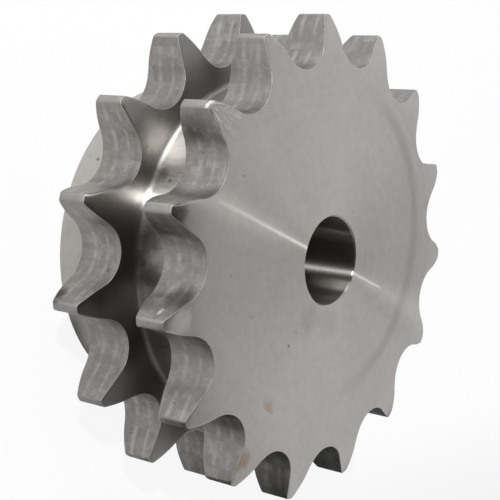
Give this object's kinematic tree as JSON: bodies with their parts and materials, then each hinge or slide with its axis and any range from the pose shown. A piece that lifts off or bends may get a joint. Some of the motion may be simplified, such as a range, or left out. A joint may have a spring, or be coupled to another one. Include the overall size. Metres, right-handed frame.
{
  "type": "chain sprocket",
  "caption": "Double-strand roller-chain sprocket with a hub on one side and a plain round pilot bore, turned and hobbed from one piece of steel.",
  "frame": {"origin": "centre of the bore at the end face of the hub", "axes": "+Z along the bore's axis, from the hub towards the flat toothed face; one tooth of each row points along +X"},
  "size_m": [0.0646, 0.065, 0.029],
  "materials": {
    "steel": "turned faces and hobbed teeth, dull grey"
  },
  "bodies": {
    "root": {"sprocket": "steel"}
  },
  "joints": []
}
